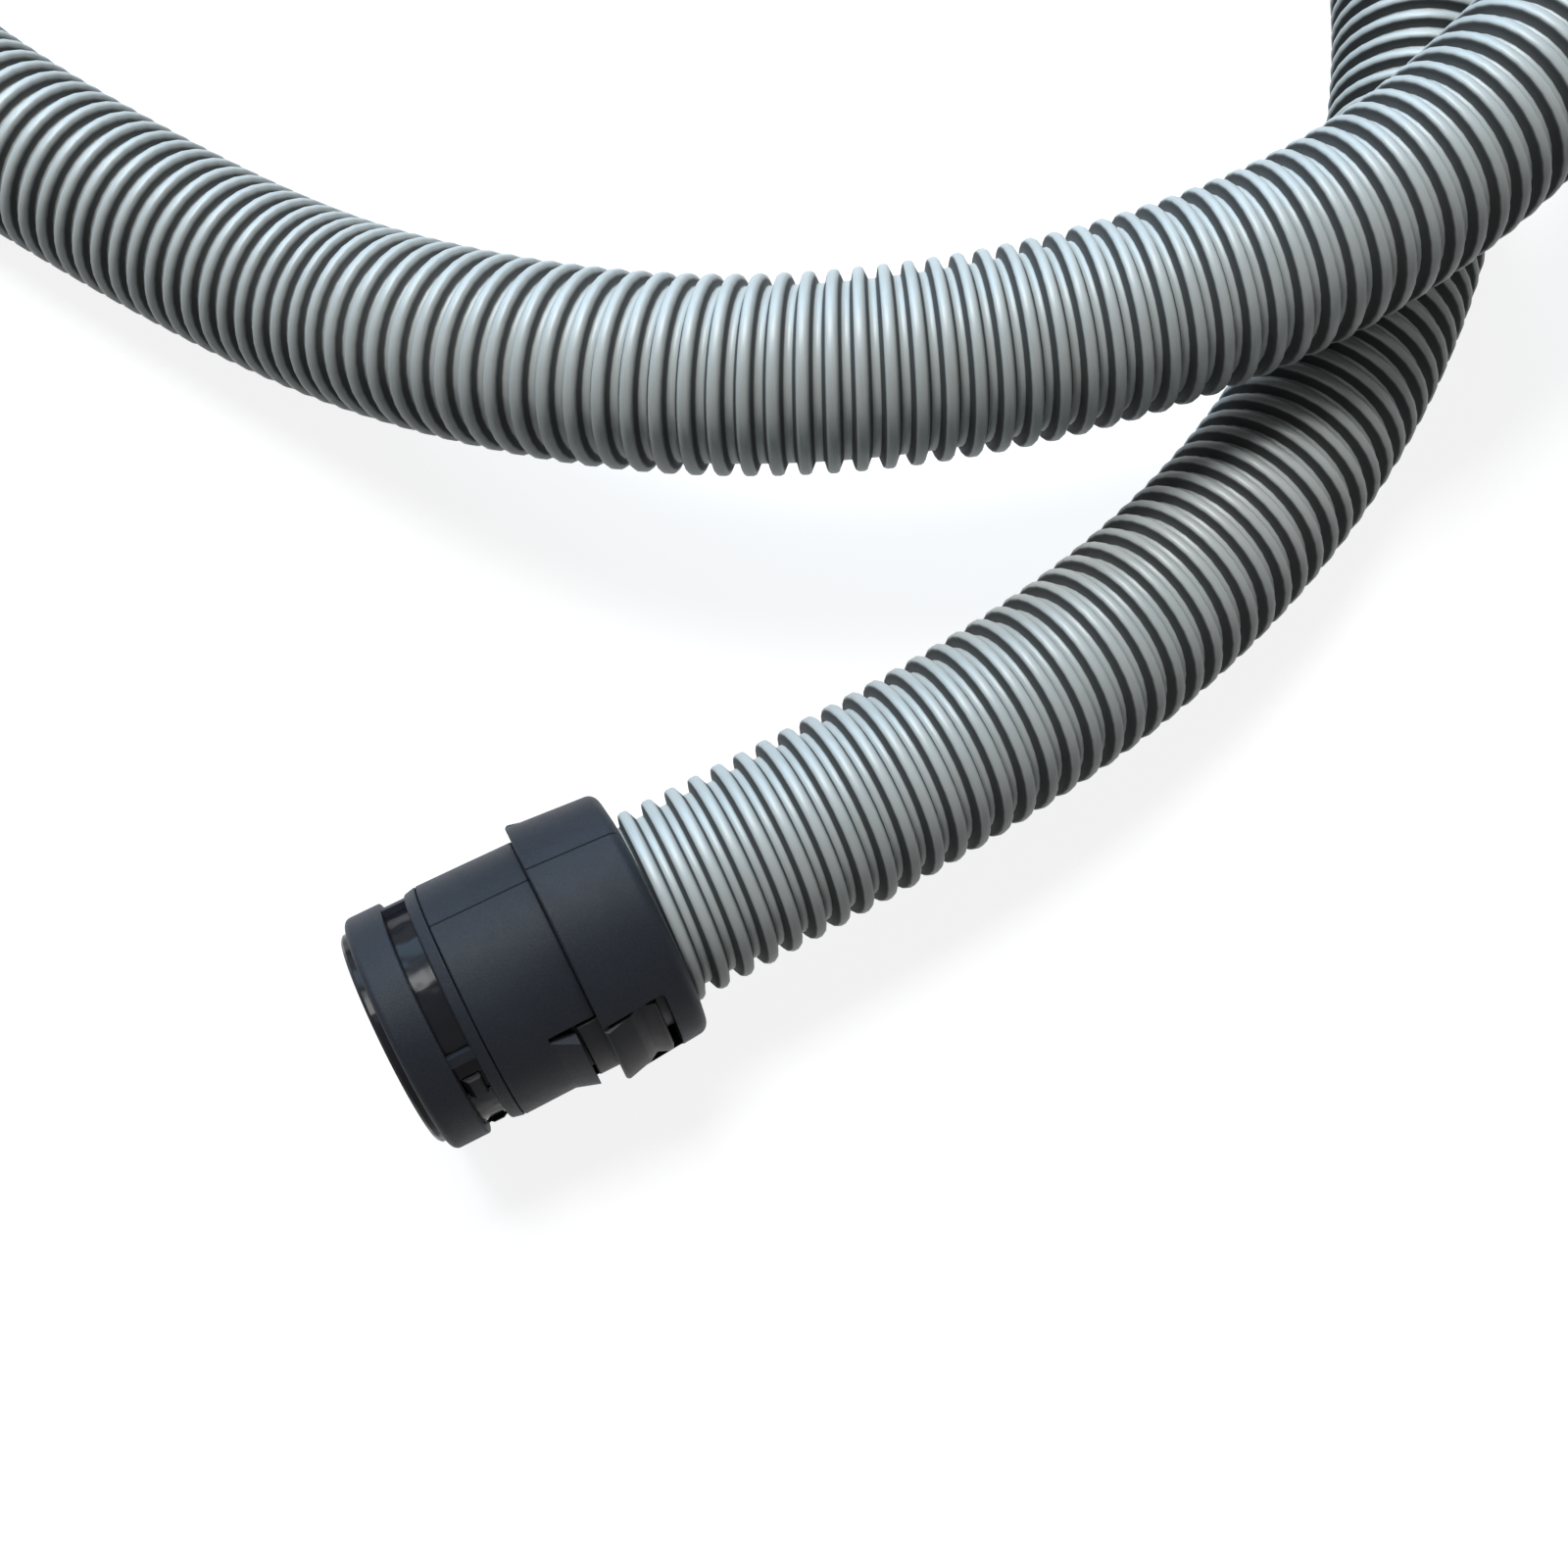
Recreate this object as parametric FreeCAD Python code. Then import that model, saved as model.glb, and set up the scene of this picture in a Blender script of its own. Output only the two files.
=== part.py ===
"""A household vacuum cleaner hose, lying loose on a floor, with its two swivel ends.

Frame: millimetres, +Z up. The origin is the centre of the machine connector's mouth and
+X runs along the connector's axis into the hose, so the connector's mouth faces -X.
Angles about the connector's axis count from +Z towards -Y. A connector's pieces are solids
of revolution about X, cut and added to. What belongs to a latch is made at the top of the
connector and then turned to the latch's angle. The wand cuff is made in the same way, with
its mouth at x = 0, and then carried to the far end of the hose.
"""
import FreeCAD, Part
import math
import os

from FreeCAD import Placement, Rotation, Vector

os.makedirs("parts", exist_ok=True)

# ------------------------------------------------------------------ driving dimensions
# Ribbed hose
HOSE_OD = 42.0
RIB_DEPTH = 2.6
HOSE_WALL = 0.9            # under the ribs' valleys
RIB_COUNT = 196
VALLEY_SHARE = 0.34        # of a rib's pitch: flat valley
RISE_SHARE = 0.08          # flank up to the crest
CREST_SHARE = 0.50         # flat crest; what is left is the flank down

# Swivel, alike at both ends of the hose
NUT_WALL = 1.7
NUT_FACE = 1.8
NUT_TAIL = 2.0
FLANGE_HEIGHT = 1.4
FLANGE_LENGTH = 1.7
FLANGE_PLAY = 1.1          # round the flange in the machine connector
SLIP_LENGTH = 0.6
SEAL_WIRE_R = 0.9
ENTRY_GAP = 0.8            # round the hose where it enters a connector

# Machine connector, walls and steps from the collar inwards
COLLAR_WALL = 1.7
COLLAR_TAPER = 1.4
COLLAR_STEP = 3.0          # from the body up to the collar's front edge
BODY_TAPER = 0.25          # wider at its front
BODY_WALL = 1.1            # where the body is narrowest
RING_STAND = 0.1           # of the front ring over the body
CAGE_WALL = 2.3
SHOULDER_DROP = 0.7
BRIDGE_DEPTH = 0.8
EDGE_ROUND = 0.8
FINE_ROUND = 0.4
COLLAR_ROUND = 2.4         # of the collar's rear edge
BACK_SLOPE = 0.8           # of the back face, towards the hose
CASING_RIB = 1.2
JOINT_GROOVE = 0.4         # between body and collar

# Machine connector, lengths from the mouth to the hose
LIP_LENGTH = 1.8
RING_LENGTH = 8.0
RING_ROUND = 1.5
WINDOW_LENGTH = 4.9
SHOULDER_LENGTH = 2.7
CAGE_TAIL = 3.25
BODY_LENGTH = 21.3
COLLAR_LENGTH = 19.3
WINDOW_HALF_ANGLE = 42.0
BRIDGE_WIDTH = 2.3
SPLIT_ANGLE = -24.6        # where the two casings meet

# Inner sleeve
SLEEVE_WALL = 2.65
MOUTH_WALL = 3.15
MOUTH_DEPTH = 12.0
MOUTH_CHAMFER = 0.4
THROAT_RAMP = 7.0
SLEEVE_TAIL = 0.3          # behind the spring's seat

# Latch levers
LATCH_ANGLE = 78.4
PAD_LENGTH = 11.6
PAD_WIDTH = 25.2
PAD_STAND = 0.6            # over the collar, at its front edge
PAD_REAR_STAND = 0.3
PAD_WALL = 1.6
PAD_FRONT_WALL = 1.2
PAD_HOLLOW = 0.9
HOLLOW_LENGTH = 4.2
PAD_LIP = 1.5              # behind the hollow
PAD_CORNER = 1.8           # rounds the pad's two rear corners
WINDOW_CORNER = 1.0        # and those of the collar's window round it
PAD_REAR_GAP = 1.9
PAD_SIDE_GAP = 1.0
NECK_DROP = 0.1            # under the body's surface
NECK_WALL = 1.6
NECK_LENGTH = 5.0
NECK_GAP = 0.5             # before the neck's step
NECK_CLEAR = 0.6
ARM_INSET = 1.2            # each side, against the pad
ARM_WALL = 1.9
ARM_HEADROOM = 1.35        # over the arm
ARM_CLEAR = 0.8            # under the arm, so that it can rock
PIVOT_REACH = 4.8          # from the arm's front end
PIVOT_SINK = 0.4
PIN_R = 0.9
PIN_REACH = 1.8
LUG_WALL = 0.4
EAR_WIDTH = 2.2
EAR_LENGTH = 5.0
FINGER_WIDTH = 4.2
NOSE_STAND = 0.95
NOSE_GAP = 0.65            # before and behind a nose, in its window
NOTCH_WALL = 1.2
SLOT_LENGTH = 10.3
SLOT_WIDTH = 1.3
TONGUE_TAPER = 1.0         # of the body's tongue between the slots, each side at its end
TONGUE_RISES = {"near": 1.7, "far": 0.0}   # of the tongue's end; the near one is sprung out

# Latch springs
SPRING_R = 2.2
SPRING_WIRE = 0.5
SPRING_TURNS = 4
SEAT_RIM = 0.4
SEAT_HEIGHT = 0.6
HEAD_HEIGHT = 0.2
PEG_LENGTH = 0.9

# Wand cuff, from its mouth to the hose
SOCKET_R = 17.6
SOCKET_LENGTH = 34.0
SOCKET_CHAMFER = 0.8
STOP_HEIGHT = 1.2
THROAT_LENGTH = 6.0
CAP_WALL = 1.85
CAP_STEP = 2.0             # from the body up to the cap
MOUTH_TAPER = 2.0
CUFF_CONE = 10.5
GRIP_START = 12.0
GRIP_LENGTH = 36.0
GRIP_DEPTH = 1.2
BAND_COUNT = 7
BAND_HEIGHT = 0.7
CAP_SPACE = 3.0            # between the grip and the cap
CAP_LENGTH = 22.0
CAP_ROUND = 2.4
CAP_CHAMFER = 1.2
CUFF_NUT_STEP = 5.5
CUFF_FLANGE_STEP = 8.0

# Clearances
FINE_GAP = 0.15            # between pieces fitted together
MOVING_GAP = 0.35          # beside pieces that move
PIN_GAP = 0.1              # round a trunnion, and round the hose in its nut

# ------------------------------------------------------------------ radii that follow
HOSE_R = HOSE_OD / 2
BORE_R = HOSE_R - RIB_DEPTH - HOSE_WALL
ENTRY_R = HOSE_R + ENTRY_GAP
NUT_R = HOSE_R + PIN_GAP + NUT_WALL
FLANGE_R = NUT_R + FLANGE_HEIGHT

COLLAR_INNER_R = FLANGE_R + FLANGE_PLAY
COLLAR_REAR_R = COLLAR_INNER_R + COLLAR_WALL
COLLAR_FRONT_R = COLLAR_REAR_R + COLLAR_TAPER
BODY_REAR_R = COLLAR_FRONT_R - COLLAR_STEP
BODY_FRONT_R = BODY_REAR_R + BODY_TAPER
BODY_INNER_R = BODY_REAR_R - BODY_WALL
RING_R = BODY_FRONT_R + RING_STAND
SLEEVE_R = BODY_FRONT_R - CAGE_WALL
LIP_R = SLEEVE_R - FINE_GAP
MOUTH_R = SLEEVE_R - MOUTH_WALL

PAD_FRONT_R = COLLAR_FRONT_R + PAD_STAND
PAD_REAR_R = COLLAR_REAR_R + PAD_REAR_STAND
PAD_INNER_R = PAD_REAR_R - PAD_WALL
NECK_HIGH_R = BODY_REAR_R - NECK_DROP
NECK_LOW_R = NECK_HIGH_R - NECK_WALL
ARM_HIGH_R = BODY_INNER_R - ARM_HEADROOM
ARM_LOW_R = ARM_HIGH_R - ARM_WALL
SLEEVE_BACK_R = ARM_LOW_R - ARM_CLEAR
THROAT_R = SLEEVE_BACK_R - SLEEVE_WALL
SEAL_R = (THROAT_R + SLEEVE_BACK_R) / 2
NOSE_R = SLEEVE_R + NOSE_STAND

CUFF_CAP_R = FLANGE_R + MOVING_GAP + CAP_WALL
CUFF_BODY_R = CUFF_CAP_R - CAP_STEP
CUFF_NECK_R = CUFF_BODY_R - GRIP_DEPTH

# ------------------------------------------------------------------ places that follow
RING_X = LIP_LENGTH
WINDOW_X = RING_X + RING_LENGTH
SHOULDER_X = WINDOW_X + WINDOW_LENGTH
BODY_X = SHOULDER_X + SHOULDER_LENGTH + FINE_GAP
CAGE_END = BODY_X + CAGE_TAIL
STEP_X = CAGE_END + FINE_GAP
FRONT_RIB_X = STEP_X + FINE_GAP
ARM_X = FRONT_RIB_X + CASING_RIB + MOVING_GAP
COLLAR_X = BODY_X + BODY_LENGTH
NECK_X = COLLAR_X - NECK_LENGTH
BACK_X = COLLAR_X + COLLAR_LENGTH
PAD_END = COLLAR_X + PAD_LENGTH
REAR_RIB_X = PAD_END + PAD_REAR_GAP - FINE_GAP
FLANGE_X = REAR_RIB_X + CASING_RIB + MOVING_GAP

LATCHES = {"near": LATCH_ANGLE, "far": LATCH_ANGLE + 180}
PAD_CUT = PAD_WIDTH / 2 + PAD_SIDE_GAP
ARM_HALF = PAD_WIDTH / 2 - ARM_INSET
FINGER_MIDDLE = ARM_HALF - FINGER_WIDTH / 2
EAR_MIDDLE = ARM_HALF + MOVING_GAP + EAR_WIDTH / 2
PIVOT_X = ARM_X + PIVOT_REACH
PIVOT_HEIGHT = math.sqrt((ARM_HIGH_R - PIVOT_SINK) ** 2 - ARM_HALF ** 2)

SEAT_R = SPRING_R + SEAT_RIM
PEG_R = SPRING_R - SPRING_WIRE - MOVING_GAP
SPRING_X = COLLAR_X + PAD_FRONT_WALL + SEAT_R + MOVING_GAP
SPRING_FOOT = SLEEVE_BACK_R + SEAT_HEIGHT
SPRING_HEAD = PAD_INNER_R - HEAD_HEIGHT

SLEEVE_END = SPRING_X + SEAT_R + SLEEVE_TAIL
NUT_X = SLEEVE_END + 2 * SEAL_WIRE_R + FINE_GAP
HOSE_START = NUT_X + NUT_FACE

GRIP_END = GRIP_START + GRIP_LENGTH
CAP_START = GRIP_END + CAP_SPACE
CAP_END = CAP_START + CAP_LENGTH
CUFF_NUT_X = CAP_START + CUFF_NUT_STEP
CUFF_FLANGE_X = CUFF_NUT_X + CUFF_FLANGE_STEP
CUFF_BODY_END = CUFF_NUT_X - 2 * SEAL_WIRE_R - FINE_GAP

FAR = 80.0                 # further from the axis or the mouth than any piece of a connector
FUSE = 0.5                 # how far pieces of one moulding run into each other

# ------------------------------------------------------------------ route of the hose
# Corners of its centre line as it lies: (x, y, height of the axis above the floor).
FLOOR_Z = -COLLAR_FRONT_R
LAID = HOSE_R
ROUTE = [
    (HOSE_START, 0, COLLAR_FRONT_R), (129, 0, COLLAR_FRONT_R), (207, 16, LAID), (270, 50, LAID),
    (317, 100, LAID), (350, 161, LAID), (377, 237, LAID), (398, 315, LAID), (395, 397, LAID),
    (360, 470, LAID), (300, 525, LAID), (223, 553, LAID), (142, 550, LAID), (68, 515, LAID),
    (13, 455, LAID), (-24, 372.5, LAID), (-19, 287, LAID), (42.5, 180.5, LAID),
    (83.5, 120, 45.5), (133.5, 81.5, 56), (196, 61, 58.5), (261.5, 55.5, 63.5), (327, 75, 69),
    (388.5, 109, 53), (439.5, 159.5, 34), (468, 226, CUFF_CAP_R), (475, 304, CUFF_CAP_R),
]
FIRST_RUN_CORNER_COUNT = 6      # corners of the route inside the first stretch of the hose
LOOP_CORNER_COUNT = 11
ARC_SHARE = 0.45           # of the shorter run beside a corner


# ------------------------------------------------------------------ small tools
def turned(shape, angle):
    """A copy turned angle degrees about the connector's axis."""
    copy = shape.copy()
    copy.rotate(Vector(0, 0, 0), Vector(1, 0, 0), angle)
    return copy


def outline(corners):
    """Closed wire through (x, r) corners; a third value is the radius that rounds a corner."""
    points = [Vector(corner[0], 0, corner[1]) for corner in corners]
    edges, ends = [], []
    for i, corner in enumerate(corners):
        point = enter = leave = points[i]
        if len(corner) > 2:
            back = (points[i - 1] - point).normalize()
            ahead = (points[(i + 1) % len(points)] - point).normalize()
            half = back.getAngle(ahead) / 2
            reach = corner[2] / math.tan(half)
            middle = point + (back + ahead).normalize() * corner[2] * (1 / math.sin(half) - 1)
            enter, leave = point + back * reach, point + ahead * reach
            edges.append(Part.Arc(enter, middle, leave).toShape())
        ends.append((enter, leave))
    for (_, leave), (enter, _) in zip(ends, ends[1:] + ends[:1]):
        edges.append(Part.LineSegment(leave, enter).toShape())
    return Part.Wire(Part.__sortEdges__(edges))


def revolve(corners, start=0.0, angle=360.0):
    """Solid of revolution about X from an outline's corners."""
    face = Part.Face(outline(corners))
    return turned(face.revolve(Vector(0, 0, 0), Vector(1, 0, 0), angle), start)


def tube(x0, x1, inner, outer, start=0.0, angle=360.0):
    return revolve([(x0, inner), (x1, inner), (x1, outer), (x0, outer)], start, angle)


def rod(radius):
    """All that is nearer to the connector's axis than radius."""
    return Part.makeCylinder(radius, 2 * FAR, Vector(-FAR, 0, 0), Vector(1, 0, 0))


def strip(x0, x1, half_width, middle=0.0):
    """A slab at the top of the connector, from the axis outwards, middle to one side."""
    corner = Vector(x0, middle - half_width, 0)
    return Part.makeBox(x1 - x0, 2 * half_width, FAR, corner)


def tab(x0, x1, half_width, radius):
    """A slab at the top of the connector whose two rear corners are rounded."""
    slab = strip(x0, x1, half_width)
    rear = [edge for edge in slab.Edges if edge.BoundBox.ZLength > FUSE
            and edge.BoundBox.XMin > x0 + FUSE]
    return slab.makeFillet(radius, rear)


def prism(plan):
    """A block at the top of the connector, from the axis outwards, over a flat outline."""
    face = Part.Face(Part.makePolygon([Vector(x, y, 0) for x, y in plan + plan[:1]]))
    return face.extrude(Vector(0, 0, FAR))


def crosswise(x, height, radius, y0, y1):
    """A round bar across the top of the connector."""
    low = Vector(x, min(y0, y1), height)
    return Part.makeCylinder(radius, abs(y1 - y0), low, Vector(0, 1, 0))


def upright(x, radius, low, high):
    return Part.makeCylinder(radius, high - low, Vector(x, 0, low))


def save(name, shape):
    """Write one node, a single valid solid."""
    solids = shape.removeSplitter().Solids
    if len(solids) != 1 or not solids[0].isValid():
        raise ValueError(f"{name} has {len(solids)} solids, or isn't valid")
    solid = solids[0]
    solid.exportStep("parts/" + name + ".step")
    print(f"{name}: {solid.Volume / 1000:.2f} cm3")


# ------------------------------------------------------------------ machine connector
def spigot_cage():
    """Front ring, four bridges and shoulder in one moulding, pressed over the sleeve."""
    shoulder_r = RING_R - SHOULDER_DROP
    tail_r = BODY_INNER_R - FINE_GAP
    joint_x = BODY_X - FINE_GAP
    cage = revolve([
        (RING_X, SLEEVE_R), (WINDOW_X, SLEEVE_R), (WINDOW_X, RING_R, FINE_ROUND),
        (RING_X, RING_R, RING_ROUND),
    ])
    shoulder = revolve([
        (SHOULDER_X, SLEEVE_R), (CAGE_END, SLEEVE_R), (CAGE_END, tail_r), (joint_x, tail_r),
        (joint_x, BODY_FRONT_R, FINE_ROUND / 2), (SHOULDER_X, shoulder_r, EDGE_ROUND),
    ])
    bridge = tube(WINDOW_X - FUSE, SHOULDER_X + FUSE, SLEEVE_R, RING_R - BRIDGE_DEPTH)
    bridge = bridge.common(strip(0, BODY_X, BRIDGE_WIDTH / 2))
    bridges = [turned(bridge, latch + side * WINDOW_HALF_ANGLE)
               for latch in LATCHES.values() for side in (1, -1)]
    cage = cage.fuse([shoulder] + bridges)
    for latch in LATCHES.values():
        for side in (1, -1):
            notch = strip(SHOULDER_X, STEP_X, FINGER_WIDTH / 2 + MOVING_GAP, side * FINGER_MIDDLE)
            cage = cage.cut(turned(notch.common(rod(RING_R - NOTCH_WALL)), latch))
    return cage


def inner_sleeve():
    """Glossy air tube: lip at the mouth, floor of the windows, and seats of the springs."""
    ramp_end = MOUTH_DEPTH + THROAT_RAMP
    lip_edge = LIP_LENGTH / 3
    sleeve = revolve([
        (0, MOUTH_R + MOUTH_CHAMFER), (MOUTH_CHAMFER, MOUTH_R), (MOUTH_DEPTH, MOUTH_R),
        (ramp_end, THROAT_R), (SLEEVE_END, THROAT_R), (SLEEVE_END, SLEEVE_BACK_R),
        (STEP_X, SLEEVE_BACK_R), (STEP_X, SLEEVE_R), (LIP_LENGTH, SLEEVE_R),
        (LIP_LENGTH, LIP_R), (lip_edge, LIP_R), (0, LIP_R - lip_edge),
    ])
    seat = upright(SPRING_X, SEAT_R, SLEEVE_BACK_R - SLEEVE_WALL / 2, SPRING_FOOT)
    peg = upright(SPRING_X, PEG_R, SPRING_FOOT - FUSE, SPRING_FOOT + PEG_LENGTH)
    for latch in LATCHES.values():
        sleeve = sleeve.fuse([turned(seat, latch), turned(peg, latch)])
        for side in (1, -1):
            slot = strip(WINDOW_X + FINE_GAP, FRONT_RIB_X, FINGER_WIDTH / 2 + MOVING_GAP,
                         side * FINGER_MIDDLE)
            sleeve = sleeve.cut(turned(slot.cut(rod(ARM_LOW_R - MOVING_GAP)), latch))
    return sleeve


def casing_outline():
    """Body, collar and rounded back outside; hose entry, swivel pocket and hollow inside."""
    ledge = FLANGE_X + FLANGE_LENGTH + FINE_GAP + SLIP_LENGTH
    return [
        (BODY_X, BODY_INNER_R), (BODY_X, BODY_FRONT_R, FINE_ROUND),
        (COLLAR_X - JOINT_GROOVE, BODY_REAR_R), (COLLAR_X, BODY_REAR_R - JOINT_GROOVE),
        (COLLAR_X, COLLAR_FRONT_R, FINE_ROUND), (BACK_X, COLLAR_REAR_R, COLLAR_ROUND),
        (BACK_X + BACK_SLOPE, ENTRY_R, FINE_ROUND), (ledge, ENTRY_R), (ledge, COLLAR_INNER_R),
        (COLLAR_X + COLLAR_WALL / 2, COLLAR_INNER_R), (COLLAR_X, BODY_INNER_R),
    ]


def casing(start, latch, rise):
    """One of two half casings, with its latch's window, slots, tongue, ears and ribs."""
    half = revolve(casing_outline(), start, 180)
    inside = SLEEVE_BACK_R + FINE_GAP
    ribs = [
        tube(FRONT_RIB_X, FRONT_RIB_X + CASING_RIB, inside, BODY_INNER_R + FUSE, start, 180),
        tube(COLLAR_X - CASING_RIB, COLLAR_X, inside, BODY_INNER_R + FUSE, start, 180),
        tube(REAR_RIB_X, REAR_RIB_X + CASING_RIB, NUT_R + MOVING_GAP, COLLAR_INNER_R + FUSE,
             start, 180),
    ]
    way = turned(strip(0, PAD_END, ARM_HALF + NECK_CLEAR), latch)
    ear_ring = tube(PIVOT_X - EAR_LENGTH / 2, PIVOT_X + EAR_LENGTH / 2, inside,
                    BODY_INNER_R + FUSE)
    ears = [turned(ear_ring.common(strip(0, FAR, EAR_WIDTH / 2, side * EAR_MIDDLE)), latch)
            for side in (1, -1)]
    slot_x = COLLAR_X - SLOT_LENGTH
    tongue_half = PAD_CUT - SLOT_WIDTH
    tongue = revolve([
        (slot_x, BODY_REAR_R - BODY_WALL), (NECK_X, BODY_REAR_R - BODY_WALL),
        (NECK_X, BODY_REAR_R + rise), (slot_x, BODY_REAR_R),
    ]).common(strip(0, FAR, tongue_half))
    half = half.fuse([rib.cut(way) for rib in ribs] + ears + [turned(tongue, latch)])
    ear_end = EAR_MIDDLE + EAR_WIDTH / 2
    cuts = [
        tab(NECK_X, PAD_END + PAD_REAR_GAP, PAD_CUT, WINDOW_CORNER),
        crosswise(PIVOT_X, PIVOT_HEIGHT, PIN_R + PIN_GAP, -ear_end, ear_end),
    ]
    for side in (1, -1):
        slot_middle = side * (tongue_half + SLOT_WIDTH / 2)
        cuts.append(strip(slot_x, COLLAR_X + FUSE, SLOT_WIDTH / 2, slot_middle))
        cuts.append(prism([(slot_x, side * tongue_half), (NECK_X, slot_middle),
                           (NECK_X, side * (tongue_half - TONGUE_TAPER))]))
    for cut in cuts:
        half = half.cut(turned(cut.cut(rod(SLEEVE_BACK_R)), latch))
    return half


def latch_lever():
    """Pad, neck and arm, two trunnions, and two fingers that end in noses."""
    pad_trim = strip(0, FAR, PAD_WIDTH / 2)
    arm_trim = strip(0, FAR, ARM_HALF)
    wall_x = COLLAR_X + PAD_FRONT_WALL
    nose_x = WINDOW_X + NOSE_GAP
    nose_end = SHOULDER_X - NOSE_GAP
    step_x = NECK_X + NECK_GAP
    hollow_end = PAD_END - PAD_LIP
    front_r = COLLAR_FRONT_R - FINE_ROUND

    def part(corners, trim):
        return revolve(corners, 180).common(trim)

    pad = part([
        (COLLAR_X, NECK_LOW_R), (COLLAR_X, PAD_FRONT_R, EDGE_ROUND),
        (hollow_end - HOLLOW_LENGTH, PAD_REAR_R + PAD_STAND / 2, EDGE_ROUND),
        (hollow_end - HOLLOW_LENGTH / 2, PAD_REAR_R - PAD_HOLLOW, EDGE_ROUND),
        (hollow_end, PAD_REAR_R, EDGE_ROUND), (PAD_END, PAD_REAR_R, EDGE_ROUND),
        (PAD_END, PAD_INNER_R), (wall_x, PAD_INNER_R), (wall_x, NECK_LOW_R),
    ], tab(COLLAR_X, PAD_END + FINE_GAP, PAD_WIDTH / 2, PAD_CORNER))
    front = part([
        (COLLAR_X, NECK_LOW_R), (wall_x, NECK_LOW_R), (wall_x, front_r, FINE_ROUND),
        (COLLAR_X, front_r, FINE_ROUND),
    ], strip(0, FAR, PAD_CUT - MOVING_GAP))
    neck = part([
        (step_x, NECK_LOW_R - NECK_WALL), (wall_x, NECK_LOW_R), (wall_x, NECK_HIGH_R),
        (step_x, NECK_HIGH_R, FINE_ROUND),
    ], pad_trim)
    arm = part([
        (ARM_X, ARM_LOW_R), (NECK_X - NECK_LENGTH / 2, ARM_LOW_R),
        (step_x + FUSE, NECK_LOW_R - NECK_WALL), (step_x + FUSE, ARM_HIGH_R), (ARM_X, ARM_HIGH_R),
    ], arm_trim)
    finger = part([
        (nose_x, ARM_LOW_R), (ARM_X + FUSE, ARM_LOW_R), (ARM_X + FUSE, ARM_HIGH_R),
        (nose_end, ARM_HIGH_R), (nose_end, NOSE_R - NOSE_STAND / 3),
        (nose_end - NOSE_STAND / 2, NOSE_R), (nose_x + NOSE_STAND, NOSE_R),
        (nose_x, NOSE_R - NOSE_STAND),
    ], pad_trim)
    pieces = [front, neck, arm]
    for side in (1, -1):
        edge = side * ARM_HALF
        pieces += [
            finger.common(strip(0, FAR, FINGER_WIDTH / 2, side * FINGER_MIDDLE)),
            crosswise(PIVOT_X, PIVOT_HEIGHT, PIN_R + LUG_WALL, edge - side * 2 * FUSE, edge),
            crosswise(PIVOT_X, PIVOT_HEIGHT, PIN_R, edge - side * FUSE,
                      edge + side * (MOVING_GAP + PIN_REACH)),
        ]
    seat = upright(SPRING_X, SEAT_R, SPRING_HEAD, PAD_REAR_R).common(rod(PAD_INNER_R + FUSE))
    peg = upright(SPRING_X, PEG_R, SPRING_HEAD - PEG_LENGTH, SPRING_HEAD + FUSE)
    return pad.fuse(pieces + [seat, peg])


def latch_spring():
    """Small compression spring between the sleeve and the pad, one tube on quarter turns."""
    low = SPRING_FOOT + SPRING_WIRE / 2
    high = SPRING_HEAD - SPRING_WIRE / 2
    radius = SPRING_R - SPRING_WIRE / 2
    quarters = 4 * SPRING_TURNS
    rise = (high - low) / quarters

    def at(quarter):
        angle = math.radians(90 * quarter)
        return Vector(SPRING_X + radius * math.cos(angle), radius * math.sin(angle),
                      low + rise * quarter)

    arcs = [Part.Arc(at(i), at(i + 0.5), at(i + 1)).toShape() for i in range(quarters)]
    along = arcs[0].tangentAt(arcs[0].FirstParameter)
    section = Part.Wire(Part.Circle(at(0), along, SPRING_WIRE / 2).toShape())
    return Part.Wire(arcs).makePipeShell([section], True, False)


# ------------------------------------------------------------------ swivel pieces
def hose_nut(start, flange):
    """Nut on the hose's end: its face seats the hose, its flange turns in a connector."""
    seat = start + NUT_FACE
    flange_end = flange + FLANGE_LENGTH
    end = flange_end + NUT_TAIL
    inner = HOSE_R + PIN_GAP
    tail_r = ENTRY_R - MOVING_GAP
    return revolve([
        (start, BORE_R), (seat, BORE_R), (seat, inner), (end, inner), (end, tail_r),
        (flange_end, tail_r), (flange_end, FLANGE_R), (flange, FLANGE_R), (flange, NUT_R),
        (start, NUT_R),
    ])


def seal_ring(x):
    """Soft ring seated on the face at x, towards the nut."""
    return Part.makeTorus(SEAL_R, SEAL_WIRE_R, Vector(x + SEAL_WIRE_R, 0, 0), Vector(1, 0, 0))


def slip_ring(flange):
    """Thin bearing washer between the nut's flange and the ledge behind it."""
    start = flange + FLANGE_LENGTH + FINE_GAP
    return tube(start, start + SLIP_LENGTH, ENTRY_R, FLANGE_R)


# ------------------------------------------------------------------ wand cuff
def cuff_body():
    """Socket for the wand with its stop, and the neck that the cap is pushed on to."""
    stop = SOCKET_LENGTH
    stop_r = SOCKET_R - STOP_HEIGHT
    mouth_r = CUFF_BODY_R - MOUTH_TAPER
    return revolve([
        (0, SOCKET_R + SOCKET_CHAMFER), (SOCKET_CHAMFER, SOCKET_R), (stop, SOCKET_R),
        (stop, stop_r), (stop + THROAT_LENGTH, stop_r), (CUFF_BODY_END, BORE_R),
        (CUFF_BODY_END, CUFF_NECK_R), (CAP_START, CUFF_NECK_R), (CAP_START, CUFF_BODY_R),
        (GRIP_END, CUFF_BODY_R), (GRIP_END, CUFF_NECK_R), (GRIP_START, CUFF_NECK_R),
        (GRIP_START, CUFF_BODY_R), (CUFF_CONE, CUFF_BODY_R), (SOCKET_CHAMFER, mouth_r),
        (0, mouth_r - SOCKET_CHAMFER),
    ])


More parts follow.
